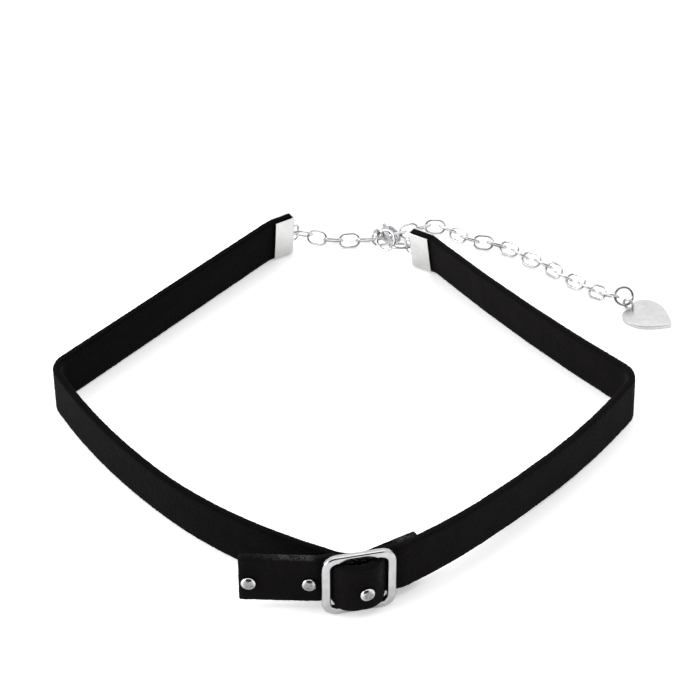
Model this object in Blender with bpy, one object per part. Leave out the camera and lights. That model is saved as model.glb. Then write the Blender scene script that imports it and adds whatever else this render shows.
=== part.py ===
# Strap choker necklace with a decorative buckle, lying on a table.
# Two faux-suede straps stand on their long edges as one loop. At the front they meet in a square
# buckle, and the outer strap ends in a free riveted tab. Behind, two folded ribbon ends are joined
# by a chain, a lobster clasp and two rings, and the chain's loose end carries a heart.
# Lengths are in millimetres and angles in degrees; MM turns them into scene metres.

import math

import bmesh
import bpy
from mathutils import Matrix, Vector
from mathutils.geometry import interpolate_bezier

MM = 0.001

# Straps
BAND_WIDTH = 10.0
BAND_THICKNESS = 1.5
BAND_EDGE = 0.25
RIGHT_RUN = 123.8
LEFT_RUN = 139.8
RUN_STEP_ANGLE = 2.5
TAB_LENGTH = 14.0
TAB_TURN = 15.0
LAYER_START = 0.9
LAYER_DEPTH = 2.65
LAYER_BEND = 17.5
LAYER_END = 11.4
LAYER_LIFT = 0.15
SETTLE_SHARE = 0.55

# Clearance kept between pieces that touch
FIT = 0.1

# Buckle
BUCKLE_CENTRE = (1.4, -73.3)
BUCKLE_YAW = 13.0
FRAME_BAR = 1.6
FRAME_ROOM = 0.1
FRAME_SIZE = BAND_WIDTH + 2 * FRAME_BAR + FRAME_ROOM
FRAME_THICKNESS = 1.2
FRAME_CORNER = 2.7
FRAME_EDGE = 0.18
CENTRE_BAR_WIDTH = 1.3
ARCH_RISE = 0.75
ARCH_FLAT = 0.5
WRAP_INSET = 0.55
WRAP_GAP = 0.4
WRAP_RADIUS = 0.95

# Rivets
RIVET_HEAD = 2.5
RIVET_DOME = 0.75
RIVET_RIM = 0.2
RIVET_SHANK = 1.2
RIVET_BACK = 1.7
RIVET_BACK_THICKNESS = 0.25
RIVET_DROP = 0.6
ARCH_RIVET_DROP = 0.95
RIVET_FROM_END = 1.8
RIVET_FROM_FRAME = 1.6
RIVET_ON_ARCH = 0.85
RIVET_SIDES = 16

# Ribbon ends
CRIMP_LENGTH = 4.2
CRIMP_WALL = 0.4
CRIMP_HEIGHT = 9.2
CRIMP_LOOP_HEIGHT = 4.4
CRIMP_LOOP_REACH = 1.75
CRIMP_LOOP_WIRE = 0.55
LOOP_LEVEL = 4.6
LEFT_CRIMP_TURN = 16.0
RIGHT_CRIMP_TURN = 22.0
CRIMP_BEND = 1.4

# Chain
LINK_LENGTH = 4.7
LINK_WIDTH = 3.3
LINK_WIRE = 0.55
LINK_COUNT = 25
TAUT_LINKS = 7
LINK_SLACK = 0.18
LINK_STEPS = 14
WIRE_SIDES = 6
LINK_ROLL = 45.0
GRIPPED_LINK = 7

# Rings between the clasp and the right ribbon end: ring a holds the ribbon end and ring b the
# clasp, and they meet in a bend that points to RING_BEND
RING_SIZE = 4.8
RING_WIRE = 0.6
RING_A_ROLL = 24.0
RING_B_ROLL = 120.0
RING_BEND = (0.0, -1.0, -0.4)

# Lobster clasp
CLASP_LENGTH = 8.8
CLASP_WIDTH = 4.6
CLASP_WIRE = 1.1
CLASP_EYE = 2.6
CLASP_EYE_HOLE = 1.5
CLASP_BODY_THICKNESS = 1.7
LEVER_THICKNESS = 0.6
PIN_DIAMETER = 0.5
CLASP_LEAN = 40.0
CLASP_AIM = (0.50, 0.71, -0.49)
CLASP_GRIP = 0.1

# Heart drop
HEART_LENGTH = 10.0
HEART_WIDTH = 9.2
HEART_THICKNESS = 0.8
HEART_EDGE = 0.2
EAR_SIZE = 2.7
EAR_OUT = 1.15
HEART_HEADING = -36.0
HEART_RING_SIZE = 4.2
HEART_RING_ROLL = 54.0
EAR_ROUND = -60.0

# Each run goes outward from the buckle. length is a share of the run's own length, and turn is
# how far the strap bends towards the inside of the loop on that stretch, and lean is how far the
# top edge has moved towards the inside at the stretch's end.
RIGHT_ROWS = [
    {"name": "leaves the buckle", "length": 0.021, "turn": 22.5, "lean": 0.0},
    {"name": "front", "length": 0.142, "turn": 8.7, "lean": -0.3},
    {"name": "front quarter", "length": 0.160, "turn": 4.5, "lean": -0.3},
    {"name": "side", "length": 0.212, "turn": 8.4, "lean": 0.0},
    {"name": "side bend", "length": 0.050, "turn": 76.5, "lean": 0.8},
    {"name": "rear", "length": 0.415, "turn": -7.7, "lean": 2.0},
]
LEFT_ROWS = [
    {"name": "leaves the buckle", "length": 0.033, "turn": 37.1, "lean": 0.0},
    {"name": "front", "length": 0.082, "turn": 4.8, "lean": 0.0},
    {"name": "front quarter", "length": 0.197, "turn": 17.7, "lean": -0.5},
    {"name": "side", "length": 0.252, "turn": 15.3, "lean": -0.2},
    {"name": "side bend", "length": 0.039, "turn": 67.3, "lean": 0.3},
    {"name": "rear", "length": 0.397, "turn": 2.2, "lean": 0.9},
]

# The chain's route, chosen by hand: across and back from the left ribbon end's loop, and the height
CHAIN_ROUTE = [
    (2.8, 1.1, 3.30), (5.8, 1.6, 1.80), (9.2, 1.7, 1.45), (13.8, 1.7, 1.45),
    (17.8, 2.4, 1.45), (21.8, 4.1, 1.45), (24.8, 5.4, 1.45), (28.1, 6.7, 1.45),
    (32.1, 5.6, 1.45), (35.1, 2.9, 1.45), (38.5, 1.2, 1.45), (42.4, -0.1, 1.45),
    (45.5, -2.0, 1.45), (48.5, -4.8, 1.45), (52.2, -7.3, 1.45), (54.8, -10.5, 1.45),
    (57.8, -12.9, 1.45), (60.5, -15.3, 1.45), (62.6, -17.6, 1.90), (63.9, -18.6, 2.30),
]

# The hook of the clasp, from its free end round the bow to the eye: shares of the clasp's
# length along, of its width across, and of its wire in thickness
HOOK_ROWS = [
    {"along": 0.66, "across": 0.36, "thickness": 0.72},
    {"along": 0.76, "across": 0.34, "thickness": 0.90},
    {"along": 0.86, "across": 0.20, "thickness": 1.00},
    {"along": 0.895, "across": 0.00, "thickness": 1.00},
    {"along": 0.86, "across": -0.21, "thickness": 1.00},
    {"along": 0.77, "across": -0.35, "thickness": 1.00},
    {"along": 0.62, "across": -0.41, "thickness": 1.00},
    {"along": 0.44, "across": -0.39, "thickness": 1.05},
    {"along": 0.27, "across": -0.27, "thickness": 1.15},
    {"along": 0.14, "across": -0.12, "thickness": 1.20},
]

# Half of the heart's outline from its notch round one lobe to its point, as shares of its length
# and of half its width
HEART_ROWS = [
    {"along": 0.10, "across": 0.00},
    {"along": 0.03, "across": 0.18},
    {"along": 0.00, "across": 0.42},
    {"along": 0.03, "across": 0.66},
    {"along": 0.11, "across": 0.86},
    {"along": 0.24, "across": 0.98},
    {"along": 0.38, "across": 1.00},
    {"along": 0.52, "across": 0.92},
    {"along": 0.66, "across": 0.75},
    {"along": 0.80, "across": 0.50},
    {"along": 0.91, "across": 0.26},
    {"along": 0.98, "across": 0.09},
    {"along": 1.00, "across": 0.00},
]

COLOURS = {
    "suede": ((0.012, 0.012, 0.013), 0.95, 0.0),
    "buckle": ((0.74, 0.74, 0.75), 0.28, 1.0),
    "rivet": ((0.80, 0.80, 0.81), 0.20, 1.0),
    "ribbon end": ((0.82, 0.82, 0.81), 0.30, 1.0),
    "chain": ((0.80, 0.80, 0.80), 0.22, 1.0),
    "clasp": ((0.76, 0.76, 0.76), 0.24, 1.0),
    "heart": ((0.72, 0.72, 0.72), 0.34, 1.0),
}


def clear_scene():
    for obj in list(bpy.data.objects):
        bpy.data.objects.remove(obj, do_unlink=True)


def make_material(node_name, kind):
    colour, roughness, metallic = COLOURS[kind]
    material = bpy.data.materials.new(node_name)
    material.use_nodes = True
    shader = material.node_tree.nodes["Principled BSDF"]
    shader.inputs["Base Color"].default_value = (*colour, 1.0)
    shader.inputs["Roughness"].default_value = roughness
    shader.inputs["Metallic"].default_value = metallic
    return material


def make_object(name, bm, kind, matrix=None):
    # Turns a millimetre mesh into an object of its own
    bmesh.ops.recalc_face_normals(bm, faces=bm.faces)
    mesh = bpy.data.meshes.new(name)
    bm.to_mesh(mesh)
    bm.free()
    mesh.transform(Matrix.Scale(MM, 4))
    mesh.shade_smooth()
    mesh.set_sharp_from_angle(angle=math.radians(35))
    obj = bpy.data.objects.new(name, mesh)
    bpy.context.scene.collection.objects.link(obj)
    mesh.materials.append(make_material(name, kind))
    if matrix is not None:
        obj.matrix_world = scaled_place(matrix)
    return obj


def scaled_place(matrix):
    place = matrix.copy()
    place.translation = matrix.translation * MM
    return place


def apply_boolean(target, tool, operation):
    # Cuts or joins, keeps the result as the target's mesh and removes the tool
    bpy.context.view_layer.update()
    modifier = target.modifiers.new("boolean", "BOOLEAN")
    modifier.operation = operation
    modifier.object = tool
    modifier.solver = "EXACT"
    graph = bpy.context.evaluated_depsgraph_get()
    result = bpy.data.meshes.new_from_object(target.evaluated_get(graph))
    target.modifiers.clear()
    target.data = result
    result.shade_smooth()
    result.set_sharp_from_angle(angle=math.radians(35))
    bpy.data.objects.remove(tool, do_unlink=True)


def sweep(bm, stations, closed):
    # Joins rings of points; each station is a list of corners in the same order
    rings = [[bm.verts.new(corner) for corner in station] for station in stations]
    count = len(rings[0])
    pairs = list(zip(rings, rings[1:]))
    if closed:
        pairs.append((rings[-1], rings[0]))
    for ring, following in pairs:
        for i in range(count):
            j = (i + 1) % count
            bm.faces.new((ring[i], ring[j], following[j], following[i]))
    if not closed:
        bm.faces.new(rings[0])
        bm.faces.new(rings[-1])


def chamfered_section(width, height, edge):
    # Corners of a rectangle with its edges taken off, centred on the origin
    w, h, e = width / 2, height / 2, edge
    return [(w, h - e), (w - e, h), (e - w, h), (-w, h - e),
            (-w, e - h), (e - w, -h), (w - e, -h), (w, e - h)]


def round_section(radius, sides):
    angles = [2 * math.pi * (k + 0.5) / sides for k in range(sides)]
    return [(radius * math.cos(a), radius * math.sin(a)) for a in angles]


def smoothstep(share):
    share = max(0.0, min(1.0, share))
    return share * share * (3 - 2 * share)


# Plan of the straps. A walk is a list of (x, y, heading, distance walked, lean).

def frame_to_plan(along, outward):
    # along runs to the right on the buckle's face, outward comes off its middle plane
    yaw = math.radians(BUCKLE_YAW)
    x = BUCKLE_CENTRE[0] + along * math.cos(yaw) + outward * math.sin(yaw)
    y = BUCKLE_CENTRE[1] + along * math.sin(yaw) - outward * math.cos(yaw)
    return x, y


def walk_on(walk, length, turn, lean=None):
    x, y, heading, distance, old_lean = walk[-1]
    new_lean = old_lean if lean is None else lean
    steps = max(1, math.ceil(abs(turn) / RUN_STEP_ANGLE))
    chord_share = 1.0
    if turn:
        half = math.radians(turn) / steps / 2
        chord_share = math.sin(half) / half
    for step in range(steps):
        middle = math.radians(heading + turn / steps / 2)
        heading += turn / steps
        distance += length / steps
        x += length / steps * chord_share * math.cos(middle)
        y += length / steps * chord_share * math.sin(middle)
        walk.append((x, y, heading, distance, old_lean + (new_lean - old_lean) * (step + 1) / steps))


def walk_rows(walk, rows, run, hand):
    for row in rows:
        walk_on(walk, run * row["length"], hand * row["turn"], hand * row["lean"])


def arch_arc():
    # The strap's tight arc at a side bar and its wide arc over the top turn by the same angle
    rise = (back_layer_depth() + FRAME_THICKNESS / 2 + ARCH_RISE + FIT + BAND_THICKNESS / 2)
    reach = FRAME_SIZE / 2 - FRAME_BAR - WRAP_INSET - ARCH_FLAT
    angle = 2 * math.atan2(rise, reach)
    top_radius = reach / math.sin(angle) - WRAP_RADIUS
    return angle, top_radius


def back_layer_depth():
    # Middle of the strap that lies right behind the frame
    return FRAME_THICKNESS / 2 + WRAP_GAP + BAND_THICKNESS / 2


def arch_top():
    return FRAME_THICKNESS / 2 + ARCH_RISE + FIT + BAND_THICKNESS / 2


def strap_through_buckle(hand):
    # From the top of the arch to the outer edge of the frame, to the right for hand 1
    heading = BUCKLE_YAW if hand > 0 else BUCKLE_YAW + 180
    walk = [(*frame_to_plan(0.0, arch_top()), heading, 0.0, 0.0)]
    angle, top_radius = arch_arc()
    turn = math.degrees(angle)
    walk_on(walk, ARCH_FLAT, 0.0)
    walk_on(walk, top_radius * angle, hand * turn)
    walk_on(walk, WRAP_RADIUS * angle, -hand * turn)
    walk_on(walk, FRAME_BAR + WRAP_INSET, 0.0)
    return walk


def reverse_walk(walk):
    return [(x, y, heading + 180, -distance, -lean) for x, y, heading, distance, lean in reversed(walk)]


def walk_into_crimp(walk, turn):
    # The strap bends just before its ribbon end
    walk_on(walk, CRIMP_LENGTH - CRIMP_BEND, 0.0)
    walk_on(walk, CRIMP_BEND, turn)
    walk_on(walk, CRIMP_LENGTH, 0.0)


def lift_at(distance, run):
    # The frame is taller than the strap, so it lifts the strap beside the buckle
    share = abs(distance) / (run * SETTLE_SHARE)
    return (FRAME_SIZE - BAND_WIDTH) / 2 * (1 - smoothstep(share))


def end_lift(distance):
    # The left strap's end behind the other strap rises a little
    return LAYER_LIFT * max(-distance, 0.0) / LAYER_END


def right_band_walk():
    tab = strap_through_buckle(-1)
    walk_on(tab, RIVET_FROM_FRAME - RIVET_HEAD / 2, -TAB_TURN)
    walk_on(tab, TAB_LENGTH - RIVET_FROM_FRAME + RIVET_HEAD / 2, 0.0)
    run = strap_through_buckle(1)
    walk_rows(run, RIGHT_ROWS, RIGHT_RUN, 1)
    walk_into_crimp(run, RIGHT_CRIMP_TURN)
    return reverse_walk(tab)[:-1] + run


def left_band_walk():
    # Lies on the table behind the frame, so its end runs on behind the other strap
    start = frame_to_plan(LAYER_START, -LAYER_DEPTH)
    end = [(*start, BUCKLE_YAW, 0.0, 0.0)]
    walk_on(end, FRAME_SIZE / 8, LAYER_BEND)
    walk_on(end, LAYER_END - FRAME_SIZE / 8, 0.0)
    run = [(*start, BUCKLE_YAW + 180, 0.0, 0.0)]
    walk_rows(run, LEFT_ROWS, LEFT_RUN, -1)
    walk_into_crimp(run, -LEFT_CRIMP_TURN)
    return reverse_walk(end)[:-1] + run


def band_stations(walk, lift_run):
    # Positive lean moves the top edge to the left of the walk's heading and the bottom to the right
    stations = []
    section = chamfered_section(BAND_THICKNESS, BAND_WIDTH, BAND_EDGE)
    for x, y, heading, distance, lean in walk:
        side = Vector((math.sin(math.radians(heading)), -math.cos(math.radians(heading)), 0))
        lift = lift_at(max(distance, 0.0), lift_run) if lift_run else end_lift(distance)
        centre = Vector((x, y, lift + BAND_WIDTH / 2))
        stations.append([centre + side * (a - lean * b / BAND_WIDTH) + Vector((0, 0, b))
                         for a, b in section])
    return stations


def build_band(name, walk, lift_run):
    bm = bmesh.new()
    sweep(bm, band_stations(walk, lift_run), closed=False)
    return make_object(name, bm, "suede")


# Buckle and rivets

def build_buckle():
    bm = bmesh.new()
    half = (FRAME_SIZE - FRAME_BAR) / 2
    radius = FRAME_CORNER - FRAME_BAR / 2
    section = chamfered_section(FRAME_BAR, FRAME_THICKNESS, FRAME_EDGE)
    stations = []
    arc_steps = 5
    for corner in range(4):
        turn = math.pi / 2 * corner
        for k in range(arc_steps + 1):
            angle = turn + math.pi / 2 * k / arc_steps
            middle = turn + math.pi / 4
            cx = (half - radius) * math.sqrt(2) * math.cos(middle)
            cy = (half - radius) * math.sqrt(2) * math.sin(middle)
            out = Vector((math.cos(angle), math.sin(angle), 0))
            centre = Vector((cx, cy, 0)) + out * radius
            stations.append([centre + out * a + Vector((0, 0, b)) for a, b in section])
    sweep(bm, stations, closed=True)
    yaw = Matrix.Rotation(math.radians(BUCKLE_YAW), 4, "Z")
    upright = Matrix.Rotation(math.radians(90), 4, "X")
    place = Matrix.Translation((*BUCKLE_CENTRE, FRAME_SIZE / 2)) @ yaw @ upright
    frame = make_object("buckle_frame", bm, "buckle", place)
    bar = bmesh.new()
    bar_length = FRAME_SIZE - FRAME_BAR
    section = chamfered_section(CENTRE_BAR_WIDTH, FRAME_THICKNESS * 0.85, FRAME_EDGE)
    ends = [[Vector((a, y, b)) for a, b in section] for y in (-bar_length / 2, bar_length / 2)]
    sweep(bar, ends, closed=False)
    apply_boolean(frame, make_object("centre_bar", bar, "buckle", place), "UNION")
    return frame


def rivet_profile():
    # Radius and height from the front of the dome to the back head, zero at the strap's middle
    front = BAND_THICKNESS / 2 + FIT
    head = RIVET_HEAD / 2
    dome = [(head * math.cos(math.radians(a)), front + RIVET_RIM + RIVET_DOME * math.sin(math.radians(a)))
            for a in (65, 40, 18, 0)]
    back = -BAND_THICKNESS / 2 - FIT - arch_sag()
    return dome + [
        (head, front), (RIVET_SHANK / 2, front), (RIVET_SHANK / 2, back),
        (RIVET_BACK / 2, back), (RIVET_BACK / 2, back - RIVET_BACK_THICKNESS),
    ], front + RIVET_RIM + RIVET_DOME, back - RIVET_BACK_THICKNESS


def arch_sag():
    # How far the hollow side of the arch rises beside a rivet's back head
    inner = arch_arc()[1] - BAND_THICKNESS / 2
    return inner - math.sqrt(max(inner ** 2 - (RIVET_BACK / 2) ** 2, 0.0))


def build_rivet(name, place):
    profile, top, bottom = rivet_profile()
    bm = bmesh.new()
    angles = [2 * math.pi * k / RIVET_SIDES for k in range(RIVET_SIDES)]
    rings = [[bm.verts.new((r * math.cos(a), r * math.sin(a), z)) for a in angles] for r, z in profile]
    for ring, following in zip(rings, rings[1:]):
        for i in range(RIVET_SIDES):
            j = (i + 1) % RIVET_SIDES
            bm.faces.new((ring[i], ring[j], following[j], following[i]))
    pole = bm.verts.new((0, 0, top))
    for i in range(RIVET_SIDES):
        bm.faces.new((pole, rings[0][i], rings[0][(i + 1) % RIVET_SIDES]))
    base = bm.verts.new((0, 0, bottom))
    for i in range(RIVET_SIDES):
        bm.faces.new((base, rings[-1][(i + 1) % RIVET_SIDES], rings[-1][i]))
    return make_object(name, bm, "rivet", place)


def rivet_hole(place):
    bm = bmesh.new()
    section = round_section(RIVET_SHANK / 2 + FIT, RIVET_SIDES)
    stations = [[Vector((a, b, z)) for a, b in section] for z in (-BAND_THICKNESS, BAND_THICKNESS)]
    sweep(bm, stations, closed=False)
    return make_object("rivet_hole", bm, "rivet", place)


def point_on_walk(walk, distance):
    for start, end in zip(walk, walk[1:]):
        low, high = sorted((start[3], end[3]))
        if low <= distance <= high:
            share = (distance - start[3]) / (end[3] - start[3])
            return [a + (b - a) * share for a, b in zip(start, end)]
    return list(walk[-1])


def rivet_place(walk, distance, drop):
    x, y, heading = point_on_walk(walk, distance)[:3]
    side = Vector((math.sin(math.radians(heading)), -math.cos(math.radians(heading)), 0))
    height = FRAME_SIZE / 2 - drop
    along = Vector((math.cos(math.radians(heading)), math.sin(math.radians(heading)), 0))
    place = Matrix((along, side.cross(along), side)).transposed().to_4x4()
    place.translation = (x, y, height)
    return place


def build_rivets(band, walk):
    tab_end = walk[0][3]
    angle, top_radius = arch_arc()
    frame_edge = -(ARCH_FLAT + (top_radius + WRAP_RADIUS) * angle + FRAME_BAR + WRAP_INSET)
    spots = [(tab_end + RIVET_FROM_END, RIVET_DROP), (frame_edge - RIVET_FROM_FRAME, RIVET_DROP),
             (RIVET_ON_ARCH, ARCH_RIVET_DROP)]
    for number, (distance, drop) in enumerate(spots, 1):
        place = rivet_place(walk, distance, drop)
        apply_boolean(band, rivet_hole(place), "DIFFERENCE")
        build_rivet("rivet_" + str(number), place)


# Ribbon ends

def ring_mesh(bm, length, width, wire, steps, sides):
    # An oval or round ring in the XY plane, long along X
    end_radius = (width - wire) / 2
    straight = (length - width) / 2
    section = round_section(wire / 2, sides)
    stations = []
    for k in range(steps):
        angle = 2 * math.pi * (k + 0.5) / steps
        out = Vector((math.cos(angle), math.sin(angle), 0))
        offset = math.copysign(straight, out.x)
        centre = Vector((offset, 0, 0)) + out * end_radius
        stations.append([centre + out * a + Vector((0, 0, b)) for a, b in section])
    sweep(bm, stations, closed=True)


def place_from(centre, heading, pitch, roll):
    turn = Matrix.Rotation(math.radians(heading), 4, "Z")
    dip = Matrix.Rotation(math.radians(pitch), 4, "Y")
    lean = Matrix.Rotation(math.radians(roll), 4, "X")
    return Matrix.Translation(centre) @ turn @ dip @ lean


def build_crimp(name, walk):
    x, y, heading, _, lean = walk[-1]
    slope = lean / BAND_WIDTH
    inner = BAND_THICKNESS / 2 + FIT
    outer = inner + CRIMP_WALL
    outline = [
        (-CRIMP_LENGTH, inner), (-CRIMP_LENGTH, outer), (FIT, outer), (FIT + CRIMP_WALL, inner),
        (FIT + CRIMP_WALL, -inner), (FIT, -outer), (-CRIMP_LENGTH, -outer), (-CRIMP_LENGTH, -inner),
        (FIT, -inner), (FIT, inner),
    ]
    bm = bmesh.new()
    low = (BAND_WIDTH - CRIMP_HEIGHT) / 2
    stations = [[Vector((a, b + slope * (z - BAND_WIDTH / 2), z)) for a, b in outline]
                for z in (low, low + CRIMP_HEIGHT)]
    sweep(bm, stations, closed=False)
    place = place_from((x, y, 0), heading, 0, 0)
    crimp = make_object(name, bm, "ribbon end", place)
    loop = bmesh.new()
    width = CRIMP_LOOP_REACH + CRIMP_WALL * 0.8
    ring_mesh(loop, CRIMP_LOOP_HEIGHT, width, CRIMP_LOOP_WIRE, LINK_STEPS, WIRE_SIDES)
    aside = slope * (LOOP_LEVEL - BAND_WIDTH / 2)
    middle = Vector((FIT + CRIMP_WALL + CRIMP_LOOP_REACH - width / 2, aside, LOOP_LEVEL))
    upright = Matrix.Rotation(math.radians(90), 4, "X") @ Matrix.Rotation(math.radians(90), 4, "Z")
    loop_place = place @ Matrix.Translation(middle) @ upright
    apply_boolean(crimp, make_object("crimp_loop", loop, "ribbon end", loop_place), "UNION")
    eye = Vector((FIT + CRIMP_WALL + (CRIMP_LOOP_REACH - CRIMP_LOOP_WIRE) / 2, aside, LOOP_LEVEL))
    return place @ eye


# Chain

def smooth_route(points, pieces):
    # A smooth line through the chosen points
    knots = [Vector(p) for p in points]
    line = []
    for k in range(len(knots) - 1):
        before = knots[max(k - 1, 0)]
        start, end = knots[k], knots[k + 1]
        after = knots[min(k + 2, len(knots) - 1)]
        handle_a = start + (end - before) / 6
        handle_b = end - (after - start) / 6
        piece = interpolate_bezier(start, handle_a, handle_b, end, pieces + 1)
        line += piece[:-1]
    return line + [knots[-1]]


def link_distance(number, length):
    # The first links are pulled taut, and the others share the rest of the route
    first = (LINK_LENGTH - LINK_WIRE) / 2
    pitch = LINK_LENGTH - 2 * LINK_WIRE - LINK_SLACK
    if number < TAUT_LINKS:
        return first + number * pitch
    taut = first + (TAUT_LINKS - 1) * pitch
    return taut + (length - taut) * (number - TAUT_LINKS + 1) / (LINK_COUNT - TAUT_LINKS)


def spaced_points(line):
    # The middle of each link along a line, with the direction there
    lengths = [0.0]
    for start, end in zip(line, line[1:]):
        lengths.append(lengths[-1] + (end - start).length)
    places = []
    for k in range(LINK_COUNT):
        target = min(link_distance(k, lengths[-1]), lengths[-1])
        index = next(i for i in range(1, len(lengths)) if lengths[i] >= target - FIT * MM)
        share = (target - lengths[index - 1]) / (lengths[index] - lengths[index - 1])
        point = line[index - 1].lerp(line[index], share)
        ahead = line[min(index + 3, len(line) - 1)]
        behind = line[max(index - 4, 0)]
        places.append((point, (ahead - behind).normalized()))
    return places


def place_along(point, direction, roll):
    side = Vector((0, 0, 1)).cross(direction).normalized()
    up = direction.cross(side)
    place = Matrix((direction, side, up)).transposed().to_4x4()
    place.translation = point
    return place @ Matrix.Rotation(math.radians(roll), 4, "X")


def build_chain(start):
    # The chain begins in the left ribbon end's loop; returns the place of each link
    route = [(start.x + x, start.y + y, z) for x, y, z in CHAIN_ROUTE]
    line = smooth_route([start] + route, 8)
    places = []
    for k, (point, direction) in enumerate(spaced_points(line)):
        roll = LINK_ROLL if k % 2 else -LINK_ROLL
        bm = bmesh.new()
        ring_mesh(bm, LINK_LENGTH, LINK_WIDTH, LINK_WIRE, LINK_STEPS, WIRE_SIDES)
        places.append(place_along(point, direction, roll))
        make_object("link_%02d" % (k + 1), bm, "chain", places[-1])
    return places


def hang_ring(name, start, direction, size, roll):
    # A round ring whose wire passes through start and runs the way direction points
    place = place_along(start + direction * (size - RING_WIRE) / 2, direction, roll)
    bm = bmesh.new()
    ring_mesh(bm, size, size, RING_WIRE, LINK_STEPS, WIRE_SIDES)
    make_object(name, bm, "chain", place)
    return place


def meeting_point(start, end, first, second):
    # Where two rings that span first and second meet between start and end
    line = end - start
    length = min(line.length, first + second)
    along = (first ** 2 - second ** 2 + length ** 2) / (2 * length)
    aside = math.sqrt(max(first ** 2 - along ** 2, 0.0))
    line.normalize()
    bend = Vector(RING_BEND)
    bend -= line * bend.dot(line)
    return start + line * along + bend.normalized() * aside


def build_clasp_rings(loop_eye, clasp_eye):
    span = RING_SIZE - RING_WIRE
    room = RING_WIRE + 2 * FIT
    meeting = meeting_point(loop_eye, clasp_eye, span - room, span)
    hang_ring("clasp_ring_a", loop_eye, (meeting - loop_eye).normalized(), RING_SIZE, RING_A_ROLL)
    hang_ring("clasp_ring_b", meeting, (clasp_eye - meeting).normalized(), RING_SIZE, RING_B_ROLL)


# Lobster clasp, modelled along X from its eye and then laid in place

def clasp_place(gripped):
    # The bow of the clasp passes through the link that it grips, and its eye is behind
    direction = Vector(CLASP_AIM).normalized()
    bow = max(row["along"] for row in HOOK_ROWS) * CLASP_LENGTH
    return place_along(gripped - direction * (bow - CLASP_GRIP), direction, CLASP_LEAN)


def build_hook():
    knots = [(row["along"] * CLASP_LENGTH, row["across"] * CLASP_WIDTH, row["thickness"] * CLASP_WIRE / 2)
             for row in HOOK_ROWS]
    line = smooth_route(knots, 3)
    stations = []
    for k, knot in enumerate(line):
        ahead, behind = line[min(k + 1, len(line) - 1)], line[max(k - 1, 0)]
        direction = Vector((ahead.x - behind.x, ahead.y - behind.y, 0)).normalized()
        side = Vector((-direction.y, direction.x, 0))
        section = round_section(knot.z, 8)
        centre = Vector((knot.x, knot.y, 0))
        stations.append([centre + side * a + Vector((0, 0, b)) for a, b in section])
    bm = bmesh.new()
    sweep(bm, stations, closed=False)
    return bm


def slab(outline, low, high):
    bm = bmesh.new()
    stations = [[Vector((x, y, z)) for x, y in outline] for z in (low, high)]
    sweep(bm, stations, closed=False)
    return bm


def pivot_point():
    return Vector((CLASP_LENGTH * 0.235, CLASP_WIDTH * 0.15, 0))


def build_clasp(place):
    body = make_object("clasp_body", build_hook(), "clasp", place)
    eye = bmesh.new()
    outer = round_section(CLASP_EYE / 2, 16)
    inner = round_section(CLASP_EYE_HOLE / 2, 16)
    half = CLASP_WIRE / 2
    stations = [[Vector((*outer[i], half * 0.7)), Vector((*inner[i], half * 0.7)),
                 Vector((*inner[i], -half * 0.7)), Vector((*outer[i], -half * 0.7))] for i in range(16)]
    sweep(eye, stations, closed=True)
    apply_boolean(body, make_object("eye", eye, "clasp", place), "UNION")
    pivot = pivot_point()
    reach = CLASP_WIDTH * 0.14
    outline = [
        (CLASP_EYE * 0.38, -reach), (pivot.x, -reach * 1.6), (pivot.x + reach, -reach * 1.2),
        (pivot.x + reach, pivot.y + reach * 0.7), (pivot.x + reach * 0.5, pivot.y + reach * 1.05),
        (pivot.x - reach * 0.6, pivot.y + reach), (CLASP_EYE * 0.4, reach),
    ]
    thick = CLASP_BODY_THICKNESS / 2
    shoulder = slab(outline, -thick, thick)
    apply_boolean(body, make_object("shoulder", shoulder, "clasp", place), "UNION")
    slot_floor = -reach * 0.35
    near, far, roof = pivot.x - reach * 1.15, pivot.x + reach * 3, pivot.y + reach * 3
    slot_outline = [(near, slot_floor), (far, slot_floor), (far, roof), (near, roof)]
    gap = LEVER_THICKNESS / 2 + FIT
    apply_boolean(body, make_object("slot", slab(slot_outline, -gap, gap), "clasp", place), "DIFFERENCE")
    pin_place = place @ Matrix.Translation(pivot)
    hole = slab(round_section(PIN_DIAMETER / 2 + FIT / 2, 12), -thick * 2, thick * 2)
    apply_boolean(body, make_object("pin_hole", hole, "clasp", pin_place), "DIFFERENCE")
    make_object("clasp_pin", slab(round_section(PIN_DIAMETER / 2, 12), -thick, thick), "clasp", pin_place)
    build_lever(pin_place, pivot, reach)


def build_lever(pin_place, pivot, reach):
    tip_x = CLASP_LENGTH * HOOK_ROWS[0]["along"] - 2.2 * FIT - pivot.x
    tip_y = CLASP_WIDTH * HOOK_ROWS[0]["across"] - pivot.y
    root = reach * 0.8
    outline = [
        (-root, 0), (-root * 0.7, -root * 0.7), (0, -root), (root * 0.9, -root * 0.6),
        (tip_x, tip_y - CLASP_WIRE * 0.32), (tip_x, tip_y + CLASP_WIRE * 0.32),
        (tip_x * 0.82, tip_y + CLASP_WIRE * 0.35), (tip_x * 0.80, tip_y + CLASP_WIRE * 0.95),
        (tip_x * 0.62, tip_y + CLASP_WIRE * 0.85), (tip_x * 0.55, tip_y + CLASP_WIRE * 0.22),
        (root * 0.6, root * 0.9), (-root * 0.6, root * 0.8),
    ]
    half = LEVER_THICKNESS / 2
    lever = make_object("clasp_lever", slab(outline, -half, half), "clasp", pin_place)
    hole = slab(round_section(PIN_DIAMETER / 2 + FIT / 2, 12), -half * 2, half * 2)
    apply_boolean(lever, make_object("lever_hole", hole, "clasp", pin_place), "DIFFERENCE")


# Heart drop

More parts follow.
